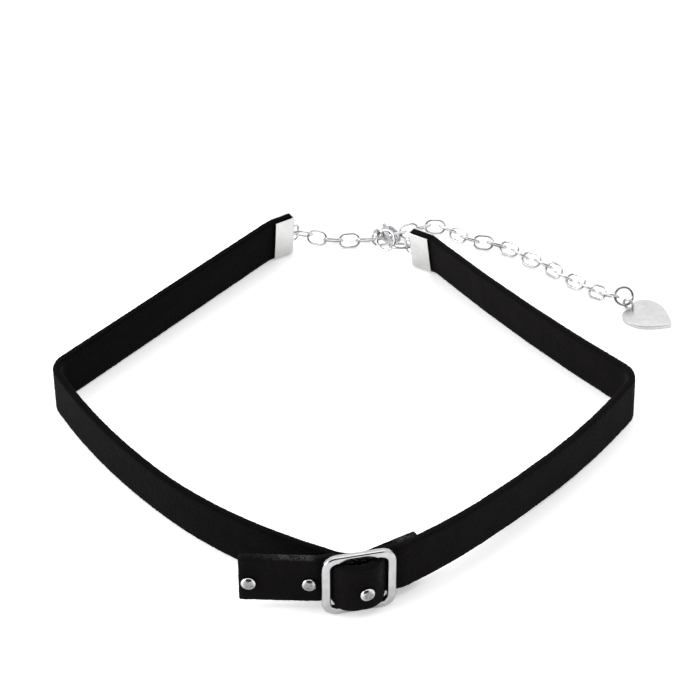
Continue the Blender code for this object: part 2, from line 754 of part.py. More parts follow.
def heart_outline(inset):
    # Both sides of the heart from its table, along X from the tops of its lobes to its point
    half = [(row["along"] * HEART_LENGTH, row["across"] * HEART_WIDTH / 2) for row in HEART_ROWS]
    outline = half + [(x, -y) for x, y in reversed(half[1:-1])]
    middle = HEART_LENGTH * 0.45
    scale = 1 - 2 * inset / HEART_WIDTH
    return [((x - middle) * scale + middle, y * scale) for x, y in outline]


def build_heart(hang):
    # The tag lies flat, and its ring passes through an upright ear soldered into its notch
    notch = HEART_ROWS[0]["along"] * HEART_LENGTH
    place = place_from((hang.x, hang.y, 0), HEART_HEADING, 0, 0)
    place @= Matrix.Translation((EAR_OUT - notch, 0, 0))
    levels = [(0.0, HEART_EDGE), (HEART_EDGE, 0.0), (HEART_THICKNESS - HEART_EDGE, 0.0),
              (HEART_THICKNESS, HEART_EDGE)]
    stations = [[Vector((x, y, z)) for x, y in heart_outline(inset)] for z, inset in levels]
    bm = bmesh.new()
    sweep(bm, stations, closed=False)
    heart = make_object("heart_tag", bm, "heart", place)
    ear = bmesh.new()
    ring_mesh(ear, EAR_SIZE, EAR_SIZE, RING_WIRE, LINK_STEPS, WIRE_SIDES)
    middle = Matrix.Translation((notch - EAR_OUT, 0, EAR_SIZE / 2))
    ear_place = place @ middle @ Matrix.Rotation(math.radians(90), 4, "X")
    apply_boolean(heart, make_object("heart_ear", ear, "heart", ear_place), "UNION")


def centre_on_origin():
    # The origin is the middle of the whole box at the table
    bpy.context.view_layer.update()
    corners = [obj.matrix_world @ v.co for obj in bpy.data.objects for v in obj.data.vertices]
    low_x, high_x = min(c.x for c in corners), max(c.x for c in corners)
    low_y, high_y = min(c.y for c in corners), max(c.y for c in corners)
    low_z = min(c.z for c in corners)
    shift = Vector((-(low_x + high_x) / 2, -(low_y + high_y) / 2, -low_z))
    for obj in bpy.data.objects:
        obj.location += shift
    bpy.context.view_layer.update()


def build_necklace():
    clear_scene()
    right_walk = right_band_walk()
    left_walk = left_band_walk()
    right_band = build_band("band_right", right_walk, RIGHT_RUN)
    build_band("band_left", left_walk, 0.0)
    build_buckle()
    build_rivets(right_band, right_walk)
    links = build_chain(build_crimp("crimp_left", left_walk))
    loop_eye = build_crimp("crimp_right", right_walk)
    place = clasp_place(links[GRIPPED_LINK - 1].translation)
    build_clasp(place)
    build_clasp_rings(loop_eye, place.translation)
    chain_end = links[-1] @ Vector((LINK_LENGTH / 2 - LINK_WIRE - RING_WIRE / 2 - FIT, 0, 0))
    ring = hang_ring("heart_ring", chain_end, Vector((1, 0, 0)), HEART_RING_SIZE, HEART_RING_ROLL)
    around = Matrix.Rotation(math.radians(EAR_ROUND), 4, "Z")
    build_heart(ring @ around @ Vector(((HEART_RING_SIZE - RING_WIRE) / 2, 0, 0)))
    centre_on_origin()


build_necklace()
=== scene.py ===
# Strap choker necklace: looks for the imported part, its camera, light and floor
import math

import bmesh
import bpy
import numpy as np
from mathutils import Matrix, Vector


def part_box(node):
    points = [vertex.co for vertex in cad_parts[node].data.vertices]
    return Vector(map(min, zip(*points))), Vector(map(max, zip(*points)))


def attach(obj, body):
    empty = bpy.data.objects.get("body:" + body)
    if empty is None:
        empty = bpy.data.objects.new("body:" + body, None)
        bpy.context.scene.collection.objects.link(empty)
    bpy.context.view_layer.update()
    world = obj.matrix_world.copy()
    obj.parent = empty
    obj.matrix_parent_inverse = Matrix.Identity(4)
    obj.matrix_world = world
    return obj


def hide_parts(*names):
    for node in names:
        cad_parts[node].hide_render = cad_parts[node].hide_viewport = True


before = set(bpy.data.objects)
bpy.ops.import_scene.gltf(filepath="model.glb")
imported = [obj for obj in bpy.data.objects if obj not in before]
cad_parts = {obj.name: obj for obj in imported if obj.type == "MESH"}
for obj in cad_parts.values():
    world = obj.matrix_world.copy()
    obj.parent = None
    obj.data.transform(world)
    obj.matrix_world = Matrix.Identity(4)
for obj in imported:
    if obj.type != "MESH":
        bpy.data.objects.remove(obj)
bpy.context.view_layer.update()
mm = 0.001


# Small helpers

def clearSelection():
    if bpy.context.object and bpy.context.object.mode != "OBJECT":
        bpy.ops.object.mode_set(mode="OBJECT")
    bpy.ops.object.select_all(action="DESELECT")


def pickOnly(piece):
    clearSelection()
    piece.select_set(True)
    bpy.context.view_layer.objects.active = piece


def openMesh(piece, kind="FACE"):
    # Into edit mode with nothing selected
    pickOnly(piece)
    bpy.ops.object.mode_set(mode="EDIT")
    bpy.ops.mesh.select_mode(type=kind)
    bpy.ops.mesh.select_all(action="DESELECT")
    return bmesh.from_edit_mesh(piece.data)


def selectWhere(piece, layer, test):
    # Selects verts, edges or faces of the piece that is open, by their middle
    cage = bmesh.from_edit_mesh(piece.data)
    for item in getattr(cage, layer):
        if layer == "verts":
            middle = item.co
        elif layer == "edges":
            middle = (item.verts[0].co + item.verts[1].co) / 2
        else:
            middle = item.calc_center_median()
        if test(middle, item):
            item.select_set(True)
    cage.select_flush_mode()
    bmesh.update_edit_mesh(piece.data)


def closeMesh(piece, smoothAngle=35):
    bpy.ops.mesh.select_all(action="SELECT")
    bpy.ops.mesh.remove_doubles(threshold=0.002 * mm)
    bpy.ops.mesh.normals_make_consistent(inside=False)
    bpy.ops.object.mode_set(mode="OBJECT")
    bpy.ops.object.shade_smooth_by_angle(angle=math.radians(smoothAngle))


def putInPlace(piece, place):
    # The place goes into the mesh, and the object stays at the origin
    piece.data.transform(place)
    piece.matrix_world = Matrix()
    if place.determinant() < 0:
        piece.data.flip_normals()


def applyModifier(piece, kind, **settings):
    pickOnly(piece)
    modifier = piece.modifiers.new(kind.lower(), kind)
    for key, value in settings.items():
        setattr(modifier, key, value)
    bpy.ops.object.modifier_apply(modifier=modifier.name)


def joinPieces(main, others):
    pickOnly(main)
    for other in others:
        other.select_set(True)
    bpy.ops.object.join()
    return main


def copyPiece(piece, name, place):
    copied = bpy.data.objects.new(name, piece.data.copy())
    bpy.context.scene.collection.objects.link(copied)
    putInPlace(copied, place)
    return copied


def copyNode(nodeName, name):
    # A merged copy of a CAD node, to be worked on
    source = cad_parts[nodeName]
    copied = bpy.data.objects.new(name, source.data.copy())
    bpy.context.scene.collection.objects.link(copied)
    copied.data.materials.clear()
    openMesh(copied)
    bpy.ops.mesh.select_all(action="SELECT")
    bpy.ops.mesh.remove_doubles(threshold=0.001 * mm)
    bpy.ops.mesh.normals_make_consistent(inside=False)
    bpy.ops.object.mode_set(mode="OBJECT")
    return copied


def placeFrom(x, y, z, turnX=0, turnY=0, turnZ=0):
    turned = Matrix.Rotation(math.radians(turnZ), 4, "Z") @ Matrix.Rotation(math.radians(turnY), 4, "Y")
    turned = turned @ Matrix.Rotation(math.radians(turnX), 4, "X")
    return Matrix.Translation(Vector((x, y, z)) * mm) @ turned


def fadeIn(value, start, width):
    # 0 below the start, 1 past the start and the width, straight between
    return min(1, max(0, (value - start) / width))


def nodeAxes(nodeName):
    # Place of a CAD node from its own corners: X along its length, Z across its thinnest side
    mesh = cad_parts[nodeName].data
    corners = np.empty(len(mesh.vertices) * 3)
    mesh.vertices.foreach_get("co", corners)
    corners = np.unique(corners.reshape(-1, 3).round(7), axis=0)
    middle = corners.mean(axis=0)
    _, directions = np.linalg.eigh(np.cov((corners - middle).T))
    along, thin = Vector(directions[:, 2]), Vector(directions[:, 0])
    place = Matrix((along, thin.cross(along), thin)).transposed().to_4x4()
    place.translation = middle
    return place


def finishPiece(piece, material, body, *nodes):
    piece.data.materials.clear()
    piece.data.materials.append(material)
    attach(piece, body)
    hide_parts(*nodes)


# Materials

def colourOf(hexCode):
    # sRGB hex to the linear colour that the shader wants
    parts = [int(hexCode[i:i + 2], 16) / 255 for i in (1, 3, 5)]
    linear = [c / 12.92 if c <= 0.04045 else ((c + 0.055) / 1.055) ** 2.4 for c in parts]
    return (*linear, 1.0)


def addNode(tree, kind, values=None, links=None, **settings):
    node = tree.nodes.new(kind)
    for key, value in settings.items():
        setattr(node, key, value)
    for socket, value in (values or {}).items():
        node.inputs[socket].default_value = value
    for socket, source in (links or {}).items():
        tree.links.new(source, node.inputs[socket])
    return node


def startMaterial(name, values):
    material = bpy.data.materials.new(name)
    material.use_nodes = True
    shader = material.node_tree.nodes["Principled BSDF"]
    for socket, value in values.items():
        shader.inputs[socket].default_value = value
    place = addNode(material.node_tree, "ShaderNodeTexCoord").outputs["Object"]
    return material, material.node_tree, shader, place


def patternScale(sizeMm):
    # Noise repeats about once per unit, so a feature of this size needs this scale
    return 1 / (sizeMm * mm)


def microfibreSuede(name, dark, light, napMm=0.34):
    # Faux suede: knitted microfibre, brushed up to a short nap. It is matt and almost black, its
    # nap catches a little light at the rims, and strokes of the hand leave faint lighter patches.
    # The real fibres are 0.01 mm and can't show, so the grain is drawn 30 times as coarse.
    material, tree, shader, place = startMaterial(name, {
        "Roughness": 0.95, "Specular IOR Level": 0.05, "IOR": 1.46,
        "Sheen Weight": 0.04, "Sheen Roughness": 0.4, "Sheen Tint": colourOf("#B4B0B0"),
    })
    strokes = addNode(tree, "ShaderNodeTexNoise", {"Scale": patternScale(3.4), "Detail": 3.0,
                                                    "Roughness": 0.6}, {"Vector": place})
    nap = addNode(tree, "ShaderNodeTexNoise", {"Scale": patternScale(napMm), "Detail": 4.0,
                                                "Roughness": 0.7}, {"Vector": place})
    both = addNode(tree, "ShaderNodeMath", {1: 0.55}, {0: nap.outputs["Fac"]}, operation="MULTIPLY")
    both = addNode(tree, "ShaderNodeMath", {1: 0.45}, {0: strokes.outputs["Fac"], 2: both.outputs[0]},
                   operation="MULTIPLY_ADD")
    share = addNode(tree, "ShaderNodeMapRange", {"From Min": 0.3, "From Max": 0.7},
                    {"Value": both.outputs[0]}).outputs["Result"]
    colour = addNode(tree, "ShaderNodeMix", {6: colourOf(dark), 7: colourOf(light)}, {0: share},
                     data_type="RGBA").outputs[2]
    # Round the buckle, the straps' upward-facing cut edges are painted a lighter grey in speckles: partly
    # rubbing wear from handling, partly a painted highlight where those edges catch the overhead light
    wearAndHighlight = addNode(tree, "ShaderNodeAttribute", attribute_name="wearAndHighlight").outputs["Fac"]
    patches = addNode(tree, "ShaderNodeMapRange", {"From Min": 0.45, "From Max": 0.60},
                      {"Value": both.outputs[0]}).outputs["Result"]
    wearAndHighlight = addNode(tree, "ShaderNodeMath", {}, {0: wearAndHighlight, 1: patches}, operation="MULTIPLY").outputs[0]
    colour = addNode(tree, "ShaderNodeMix", {7: colourOf("#3E3C3D")}, {0: wearAndHighlight, 6: colour},
                     data_type="RGBA").outputs[2]
    tree.links.new(colour, shader.inputs["Base Color"])
    bump = addNode(tree, "ShaderNodeBump", {"Strength": 0.75, "Distance": 0.07 * mm},
                   {"Height": nap.outputs["Fac"]})
    tree.links.new(bump.outputs["Normal"], shader.inputs["Normal"])
    return material


def platedMetal(name, dark, light, polish, grainMm, grain, dentMm=1.6, paintedReflectionGrey="#666664"):
    # Plated metal: the plating is one even colour that a wipe and handling leave slightly cloudy,
    # so its gloss varies in fine grain and its face in broad, shallow dents.
    material, tree, shader, place = startMaterial(name, {"Metallic": 1.0})
    fine = addNode(tree, "ShaderNodeTexNoise", {"Scale": patternScale(grainMm), "Detail": 3.0},
                   {"Vector": place})
    broad = addNode(tree, "ShaderNodeTexNoise", {"Scale": patternScale(dentMm), "Detail": 2.0},
                    {"Vector": place})
    share = addNode(tree, "ShaderNodeMapRange", {"From Min": 0.3, "From Max": 0.7},
                    {"Value": broad.outputs["Fac"]}).outputs["Result"]
    colour = addNode(tree, "ShaderNodeMix", {6: colourOf(dark), 7: colourOf(light)}, {0: share},
                     data_type="RGBA").outputs[2]
    # Painted reflection: the top of a cap is painted a darker grey in spots, standing for the dark room
    # mirrored there
    darkReflectionPaint = addNode(tree, "ShaderNodeAttribute", attribute_name="darkReflectionPaint").outputs["Fac"]
    darkReflectionPaint = addNode(tree, "ShaderNodeMath", {}, {0: darkReflectionPaint, 1: fine.outputs["Fac"]},
                      operation="MULTIPLY", use_clamp=True).outputs[0]
    colour = addNode(tree, "ShaderNodeMix", {7: colourOf(paintedReflectionGrey)}, {0: darkReflectionPaint, 6: colour},
                     data_type="RGBA").outputs[2]
    tree.links.new(colour, shader.inputs["Base Color"])
    gloss = addNode(tree, "ShaderNodeMapRange", {"To Min": polish[0], "To Max": polish[1]},
                    {"Value": fine.outputs["Fac"]})
    tree.links.new(gloss.outputs["Result"], shader.inputs["Roughness"])
    height = addNode(tree, "ShaderNodeMath", {1: grain}, {0: fine.outputs["Fac"],
                     2: broad.outputs["Fac"]}, operation="MULTIPLY_ADD")
    bump = addNode(tree, "ShaderNodeBump", {"Strength": 0.25, "Distance": 0.02 * mm},
                   {"Height": height.outputs[0]})
    tree.links.new(bump.outputs["Normal"], shader.inputs["Normal"])
    return material


# One black suede in two copies: the left strap's copy is painted darker as shade, and the right one's a
# little greyer as light
suedeShadedLeft = microfibreSuede("microfibreSuedeBlack", "#020202", "#090909")
suedeLitRight = microfibreSuede("microfibreSuedeBlackLitCopy", "#070607", "#110F10")
# Buckle: zinc from a polished mould, nickel plated, so it is smooth, even and grey with clear reflections
castZinc = platedMetal("nickelPlatedCastZinc", "#A4A4A6", "#B2B2B3", (0.10, 0.17), 0.25, 0.2)
# Rivet caps: pressed brass, plated and polished, bright at the rim, with a painted dark reflection spotted
# on top
polishedRivet = platedMetal("polishedNickelPlatedBrass", "#B8B7B6", "#D4D3D2", (0.08, 0.16), 0.3, 0.6, 0.7)
# Ribbon ends: rolled steel strip, stamped and plated, flat and pale with a soft sheen
stampedSteel = platedMetal("stampedNickelPlatedSteel", "#C2C2C1", "#CACAC9", (0.22, 0.30), 0.2, 0.4, 2.4)
# Chain: drawn steel wire, silver plated after bending, light with thin dark edges
silverWire = platedMetal("silverPlatedSteelWire", "#B4B4B5", "#D0D0D0", (0.08, 0.16), 0.2, 0.4, 1.2)
# Clasp: a small tumbled zinc casting, nickel plated, a shade darker than the chain
claspZinc = platedMetal("nickelPlatedClaspCasting", "#949496", "#B0B0B2", (0.10, 0.18), 0.2, 0.5, 1.2)
# Heart: a cast tag with satin plating, a flat pale grey that mirrors nothing clearly
tagZinc = platedMetal("satinPlatedTag", "#BABABB", "#C6C6C7", (0.30, 0.40), 0.22, 0.5, 1.3)
# Rings: polished steel wire, which shows the dark of the room as a line
ringSteel = platedMetal("polishedSteelRing", "#A0A0A2", "#B8B8BA", (0.06, 0.12), 0.2, 0.3, 1.2)
print("materials ready")


# Camera at the photograph's angle

cameraView = {"lens": 133.71, "elevation": 38.0, "back": 405.8, "up": 317.1, "fromBuckle": (-1.4, 73.3)}


def addCamera():
    v = cameraView
    low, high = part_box("buckle_frame")
    middle = (low + high) / 2 / mm
    aimX, aimY = middle.x + v["fromBuckle"][0], middle.y + v["fromBuckle"][1]   # photograph's centre
    camera = bpy.data.objects.new("camera", bpy.data.cameras.new("camera"))
    bpy.context.scene.collection.objects.link(camera)
    camera.data.sensor_width = 36
    camera.data.lens = v["lens"]
    camera.data.clip_start = 0.02
    camera.location = Vector((aimX, aimY - v["back"], v["up"])) * mm
    camera.rotation_euler = (math.radians(90 - v["elevation"]), 0, 0)
    bpy.context.scene.camera = camera


addCamera()


# Straps

strapLooks = {"remeshMm": 0.25, "softenRounds": 5, "fuzzMm": 0.08, "fuzzGrainMm": 0.5,
              "archSwell": 0.78, "archBack": -1.6, "archFront": 4.5, "archBlend": 1.2,
              "cornerDepth": 0.9, "cornerHeight": 3.8, "cornerShare": 0.4,
              "wearHighlightFade": 2.0, "wearHighlightTabFrom": 9.5, "wearHighlightTabTo": 24.0, "wearHighlightTabFade": 9.0, "wearHighlightEndFrom": 3.2,
              "wearHighlightLimitY": -44.0, "wearHighlightArch": 0.6, "wearHighlightArchY": -55.5}


def swellArch(strap):
    # The strap is springy, so its arch spreads until it presses on the side bars inside the frame
    s = strapLooks
    low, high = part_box("buckle_frame")
    yaw = math.radians(buckleSizes["yaw"])
    along = Vector((math.cos(yaw), math.sin(yaw), 0))
    outward = Vector((math.sin(yaw), -math.cos(yaw), 0))
    room = (buckleSizes["side"] / 2 - buckleSizes["bar"]) * mm
    for corner in strap.data.vertices:
        offset = corner.co - (low + high) / 2
        across, depth = offset.dot(along), offset.dot(outward) / mm
        if abs(across) > room or not s["archBack"] < depth < s["archFront"]:
            continue
        share = fadeIn(depth, s["archBack"], s["archBlend"])
        if depth < s["cornerDepth"] and abs(offset.z) > s["cornerHeight"] * mm:
            share *= s["cornerShare"]                      # frame's inner corners are rounded here
        push = min(s["archSwell"] * mm * share * abs(across) / room, room - abs(across))
        corner.co += along * math.copysign(push, across)


def markWearAndHighlight(strap):
    # Marks the tab's upper edge, the end behind the buckle and the front of the arch for lighter grey:
    # partly wear where hands pull and rub, partly a painted highlight on faces turned up and to the front
    s = strapLooks
    layer = strap.data.attributes.new("wearAndHighlight", "FLOAT", "POINT")
    hasTab = strap.name == "strapRight"
    for corner, value in zip(strap.data.vertices, layer.data):
        x, y, z = corner.co / mm
        if hasTab:
            near = fadeIn(-x, s["wearHighlightTabFrom"], s["wearHighlightFade"]) * fadeIn(x, -s["wearHighlightTabTo"], s["wearHighlightTabFade"])
        else:
            near = fadeIn(x, s["wearHighlightEndFrom"], s["wearHighlightFade"])
        # Painted highlight mixed with wear: only faces turned up towards the overhead light are marked
        if y < s["wearHighlightLimitY"]:
            value.value = near * fadeIn(corner.normal.z, 0.2, 0.5)
        # On the tab's arch, the front faces of the upper right are marked as well: wear mixed with a painted
        # highlight
        if hasTab and y < s["wearHighlightArchY"] and corner.normal.y < -0.5:
            upperRight = fadeIn(x, 0.3, 2.5) * fadeIn(z, 5, 3)
            value.value = max(value.value, upperRight * s["wearHighlightArch"])


def buildStrap(node, name, material, hasArch):
    strap = copyNode(node, name)
    applyModifier(strap, "REMESH", mode="VOXEL", voxel_size=strapLooks["remeshMm"] * mm)
    applyModifier(strap, "SMOOTH", factor=0.5, iterations=strapLooks["softenRounds"])
    if hasArch:
        swellArch(strap)
    fuzz = bpy.data.textures.new(name + "Fuzz", "CLOUDS")
    fuzz.noise_scale = strapLooks["fuzzGrainMm"] * mm
    applyModifier(strap, "DISPLACE", texture=fuzz, texture_coords="LOCAL",
                  strength=strapLooks["fuzzMm"] * mm * 2, mid_level=0.45)
    markWearAndHighlight(strap)
    pickOnly(strap)
    bpy.ops.object.shade_smooth()
    finishPiece(strap, material, "necklace", node)


# Buckle: a rounded square frame with its centre bar, cast in one

buckleSizes = {"side": 13.3, "thickness": 1.2, "bar": 1.6, "corner": 2.7, "edge": 0.4,
               "centreBar": 1.3, "centreBarDepth": 1.02, "yaw": 13.0}


def buildBuckle():
    s = buckleSizes
    clearSelection()
    bpy.ops.mesh.primitive_plane_add(size=s["side"] * mm, location=(0, 0, -s["thickness"] / 2 * mm))
    buckle = bpy.context.object
    buckle.name = "buckleFrame"
    openMesh(buckle, "VERT")
    bpy.ops.mesh.select_all(action="SELECT")
    bpy.ops.mesh.bevel(offset=s["corner"] * mm, segments=10, affect="VERTICES")
    bpy.ops.mesh.select_mode(type="FACE")
    bpy.ops.mesh.select_all(action="SELECT")
    bpy.ops.mesh.inset(thickness=s["bar"] * mm)
    bpy.ops.mesh.select_all(action="DESELECT")
    selectWhere(buckle, "faces", lambda p, face: len(face.verts) > 4)
    bpy.ops.mesh.delete(type="FACE")
    bpy.ops.mesh.select_all(action="SELECT")
    bpy.ops.mesh.extrude_region_move(TRANSFORM_OT_translate={"value": (0, 0, s["thickness"] * mm)})
    closeMesh(buckle, 40)
    applyModifier(buckle, "BEVEL", width=s["edge"] * mm, segments=4, limit_method="ANGLE",
                  angle_limit=math.radians(50))
    clearSelection()
    bpy.ops.mesh.primitive_cube_add(size=1)
    bar = bpy.context.object
    bar.data.transform(Matrix.Diagonal((s["centreBar"] * mm, (s["side"] - s["bar"]) * mm,
                                        s["centreBarDepth"] * mm, 1)))
    applyModifier(bar, "BEVEL", width=s["edge"] * mm, segments=4)
    joinPieces(buckle, [bar])
    low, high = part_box("buckle_frame")
    middle = (low + high) / 2 / mm
    putInPlace(buckle, placeFrom(middle.x, middle.y, middle.z, 90, 0, s["yaw"]))
    pickOnly(buckle)
    bpy.ops.object.shade_smooth_by_angle(angle=math.radians(50))
    finishPiece(buckle, castZinc, "necklace", "buckle_frame")


buildBuckle()
print("buckle ready")
buildStrap("band_left", "strapLeft", suedeShadedLeft, False)
buildStrap("band_right", "strapRight", suedeLitRight, True)
print("straps ready")


# Rivets: domed caps with a rim, a shank and a back head

rivetSizes = {"head": 2.7, "dome": 0.70, "rim": 0.2, "shank": 1.2, "back": 1.7, "backThickness": 0.25,
              "front": 0.85, "domeSteps": 9, "darkReflectionPaint": 1.7, "darkReflectionPaintTo": 0.88}
# Each rivet's middle in the strap, and how far it is turned about Z
rivetPlaces = {"rivet_1": (-21.590, -54.988, 6.05, -2.0), "rivet_2": (-10.997, -55.358, 6.05, -2.0),
               "rivet_3": (-1.209, -57.509, 5.70, 19.57)}


def drawOut(ring, newRing):
    # Extrudes the selected ring to a new height, then widens it to a new radius
    (radius, height), (newRadius, newHeight) = ring, newRing
    step = (0, 0, (newHeight - height) * mm)
    bpy.ops.mesh.extrude_region_move(TRANSFORM_OT_translate={"value": step})
    bpy.ops.transform.resize(value=(newRadius / radius, newRadius / radius, 1),
                             center_override=(0, 0, newHeight * mm))
    return newRing


def modelRivet():
    # Starts as a ring round the shank, drawn out ring by ring to the dome and then to the back head
    s = rivetSizes
    head = s["head"] / 2
    rings = [(head * 0.97, s["front"] + 0.05), (head, s["front"] + 0.10), (head, s["front"] + s["rim"])]
    for step in range(1, s["domeSteps"]):
        angle = math.pi / 2 * step / s["domeSteps"]
        rings.append((head * math.cos(angle), s["front"] + s["rim"] + s["dome"] * math.sin(angle)))
    clearSelection()
    bpy.ops.mesh.primitive_circle_add(vertices=40, radius=s["shank"] / 2 * mm, location=(0, 0, 0))
    rivet = bpy.context.object
    rivet.name = "rivetModel"
    openMesh(rivet, "EDGE")
    bpy.ops.mesh.select_all(action="SELECT")
    ring = start = (s["shank"] / 2, 0.0)
    for newRing in [(s["shank"] / 2, s["front"]), (head * 0.9, s["front"])] + rings:
        ring = drawOut(ring, newRing)
    bpy.ops.mesh.edge_face_add()
    bpy.ops.mesh.poke()
    bpy.ops.mesh.select_all(action="DESELECT")
    selectWhere(rivet, "edges", lambda p, edge: edge.is_boundary)
    ring = start
    under = -s["front"] - 0.02
    for newRing in [(s["shank"] / 2, under), (s["back"] / 2, under),
                    (s["back"] / 2, under - s["backThickness"] * 0.7),
                    (s["back"] / 2 * 0.9, under - s["backThickness"])]:
        ring = drawOut(ring, newRing)
    bpy.ops.mesh.edge_face_add()
    closeMesh(rivet, 45)
    # Marks the top of the dome, inside the rim, for the painted dark reflection
    layer = rivet.data.attributes.new("darkReflectionPaint", "FLOAT", "POINT")
    top = (s["front"] + s["rim"]) * mm
    for corner, value in zip(rivet.data.vertices, layer.data):
        out = math.hypot(corner.co.x, corner.co.y) / (head * mm)
        value.value = s["darkReflectionPaint"] * fadeIn(-out, -s["darkReflectionPaintTo"], 0.3) if corner.co.z > top else 0
    return rivet


rivetModel = modelRivet()
for node, (x, y, z, turn) in rivetPlaces.items():
    rivet = copyPiece(rivetModel, node.replace("rivet_", "rivetCap"), placeFrom(x, y, z, 90, 0, turn))
    finishPiece(rivet, polishedRivet, "necklace", node)
print("rivets ready")


# Wire rings and links

linkSizes = {"length": 4.7, "width": 3.3, "wire": 0.55}
ringSizes = {"clasp_ring_a": (4.8, 0.6), "clasp_ring_b": (4.8, 0.6), "heart_ring": (4.2, 0.6)}


def modelRing(name, length, width, wire, along=44, around=14):
    clearSelection()
    bpy.ops.mesh.primitive_torus_add(major_segments=along, minor_segments=around,
                                     major_radius=(width - wire) / 2 * mm, minor_radius=wire / 2 * mm)
    ring = bpy.context.object
    ring.name = name
    openMesh(ring, "VERT")
    for side in (-1, 1):
        bpy.ops.mesh.select_all(action="DESELECT")
        selectWhere(ring, "verts", lambda p, corner: p.x * side > 0.001 * mm)
        bpy.ops.transform.translate(value=((length - width) / 2 * side * mm, 0, 0))
    closeMesh(ring, 60)
    return ring


linkModel = modelRing("linkModel", linkSizes["length"], linkSizes["width"], linkSizes["wire"])
for number in range(1, 26):
    node = "link_%02d" % number
    link = copyPiece(linkModel, "chainLink%02d" % number, nodeAxes(node))
    finishPiece(link, silverWire, "necklace", node)
for node, (size, wire) in ringSizes.items():
    ring = modelRing("wire" + node.title().replace("_", ""), size, size, wire, 56, 16)
    putInPlace(ring, nodeAxes(node))
    finishPiece(ring, ringSteel, "necklace", node)
print("chain ready")


# Ribbon ends: a plate folded over the strap's end, with a wire loop on the fold

crimpSizes = {"length": 4.2, "wall": 0.4, "height": 9.2, "inner": 0.85, "fit": 0.1, "edge": 0.09,
              "foldRound": 0.55, "strapWidth": 10.0,
              "loopHeight": 4.4, "loopWidth": 2.07, "loopWire": 0.55, "loopReach": 1.75, "loopLevel": 4.6}
# Each strap end's place, heading, and how far its top leans to the side
crimpPlaces = {"crimp_left": (-16.383, 50.777, 32.6, -0.9), "crimp_right": (9.280, 45.843, 147.9, 2.0)}


def buildCrimp(node):
    s = crimpSizes
    x, y, heading, lean = crimpPlaces[node]
    outer = s["inner"] + s["wall"]
    length = s["length"] + s["fit"] + s["wall"]
    clearSelection()
    bpy.ops.mesh.primitive_cube_add(size=1)
    plate = bpy.context.object
    plate.name = "ribbonEnd" + node.split("_")[1].title()
    plate.data.transform(Matrix.Diagonal((length * mm, outer * 2 * mm, s["height"] * mm, 1)))
    plate.data.transform(Matrix.Translation(Vector((length / 2 - s["length"], 0, s["strapWidth"] / 2)) * mm))
    openMesh(plate)
    selectWhere(plate, "faces", lambda p, face: abs(face.normal.z) > 0.9 or face.normal.x < -0.9)
    bpy.ops.mesh.delete(type="ONLY_FACE")
    bpy.ops.mesh.select_mode(type="EDGE")
    fold = length - s["length"] - 0.001
    selectWhere(plate, "edges", lambda p, edge: p.x > fold * mm and abs(p.y) > 0.5 * mm
                and abs(edge.verts[0].co.z - edge.verts[1].co.z) > mm)
    bpy.ops.mesh.bevel(offset=s["foldRound"] * mm, segments=5)
    closeMesh(plate, 60)
    applyModifier(plate, "SOLIDIFY", thickness=s["wall"] * mm, offset=-1)
    applyModifier(plate, "BEVEL", width=s["edge"] * mm, segments=3, limit_method="ANGLE",
                  angle_limit=math.radians(50))
    loop = modelRing("loop", s["loopHeight"], s["loopWidth"], s["loopWire"], 40, 14)
    middle = s["fit"] + s["wall"] + s["loopReach"] - s["loopWidth"] / 2
    upright = Matrix.Rotation(math.radians(90), 4, "X") @ Matrix.Rotation(math.radians(90), 4, "Z")
    loop.data.transform(Matrix.Translation(Vector((middle, 0, s["loopLevel"])) * mm) @ upright)
    joinPieces(plate, [loop])
    slope = Matrix.Identity(4)
    slope[1][2] = lean / s["strapWidth"]
    slope[1][3] = -lean / 2 * mm
    putInPlace(plate, placeFrom(x, y, 0, 0, 0, heading) @ slope)
    pickOnly(plate)
    bpy.ops.object.shade_smooth_by_angle(angle=math.radians(45))
    finishPiece(plate, stampedSteel, "necklace", node)


for node in crimpPlaces:
    buildCrimp(node)
print("ribbon ends ready")


# Lobster clasp: a cast hook and shoulder, a lever and its pin

claspLooks = {"remeshMm": 0.06, "softenRounds": 30, "leverRemeshMm": 0.045, "leverRounds": 16,
              "pinEdgeMm": 0.05}


def buildClasp():
    # Cast pieces leave the mould with soft edges, and tumbling rounds them further
    for node, name, body, voxel, rounds in (
            ("clasp_body", "claspHook", "necklace", claspLooks["remeshMm"], claspLooks["softenRounds"]),
            ("clasp_lever", "claspLever", "lever", claspLooks["leverRemeshMm"], claspLooks["leverRounds"])):
        cast = copyNode(node, name)
        applyModifier(cast, "REMESH", mode="VOXEL", voxel_size=voxel * mm)
        applyModifier(cast, "SMOOTH", factor=0.5, iterations=rounds)
        pickOnly(cast)
        bpy.ops.object.shade_smooth()
        finishPiece(cast, claspZinc, body, node)
    pin = copyNode("clasp_pin", "claspPin")
    openMesh(pin)
    bpy.ops.mesh.select_all(action="SELECT")
    bpy.ops.mesh.dissolve_limited(angle_limit=math.radians(2))
    bpy.ops.object.mode_set(mode="OBJECT")
    applyModifier(pin, "BEVEL", width=claspLooks["pinEdgeMm"] * mm, segments=3, limit_method="ANGLE",
                  angle_limit=math.radians(60))
    pickOnly(pin)
    bpy.ops.object.shade_smooth_by_angle(angle=math.radians(45))
    finishPiece(pin, claspZinc, "necklace", "clasp_pin")


buildClasp()
print("clasp ready")


# Heart tag: a flat plate cut to a heart, with an upright ear soldered into its notch

heartSizes = {"length": 10.0, "width": 9.2, "thickness": 0.8, "edge": 0.18, "ear": 2.7, "earOut": 1.15,
              "wire": 0.6, "heading": -36.0, "x": 52.359, "y": 31.031}
heartHalf = [(0.10, 0.00), (0.03, 0.18), (0.00, 0.42), (0.03, 0.66), (0.11, 0.86), (0.24, 0.98),
             (0.38, 1.00), (0.52, 0.92), (0.66, 0.75), (0.80, 0.50), (0.91, 0.26), (0.98, 0.09),
             (1.00, 0.00)]


